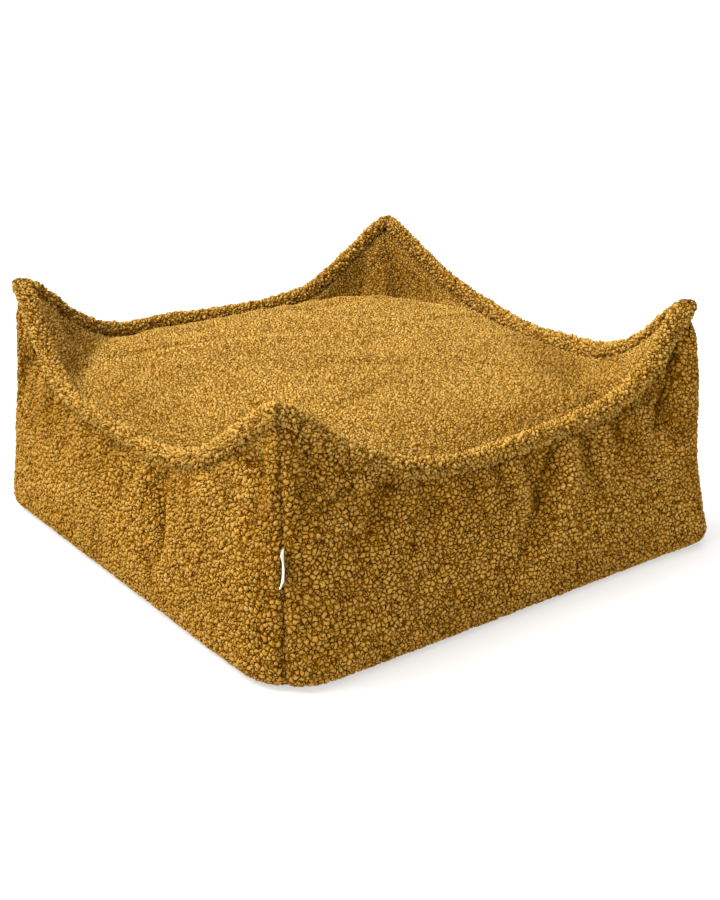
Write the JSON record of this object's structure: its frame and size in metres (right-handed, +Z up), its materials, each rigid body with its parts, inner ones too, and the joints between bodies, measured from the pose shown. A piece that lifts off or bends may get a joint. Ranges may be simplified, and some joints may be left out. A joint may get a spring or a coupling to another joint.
{
  "type": "teddy pouf",
  "caption": "Low square filled floor pouf of curly teddy cloth, its top corners drawn up into peaks and its upper edges finished with sewn rolls.",
  "frame": {"origin": "middle of the base's flat face, on the surface that the pouf rests on", "axes": "+Z up; X and Y square to the four side panels; the corner at -X -Y bears the label and faces the viewer of the picture"},
  "size_m": [0.6613, 0.6594, 0.3114],
  "materials": {
    "teddy_cloth": "curly short pile, matt, mustard",
    "label_tape": "plain woven tape, white, bare"
  },
  "bodies": {
    "root": {"filled_body": "teddy_cloth", "rim_roll_front": "teddy_cloth", "rim_roll_right": "teddy_cloth", "rim_roll_back": "teddy_cloth", "rim_roll_left": "teddy_cloth", "label": "label_tape"}
  },
  "joints": []
}
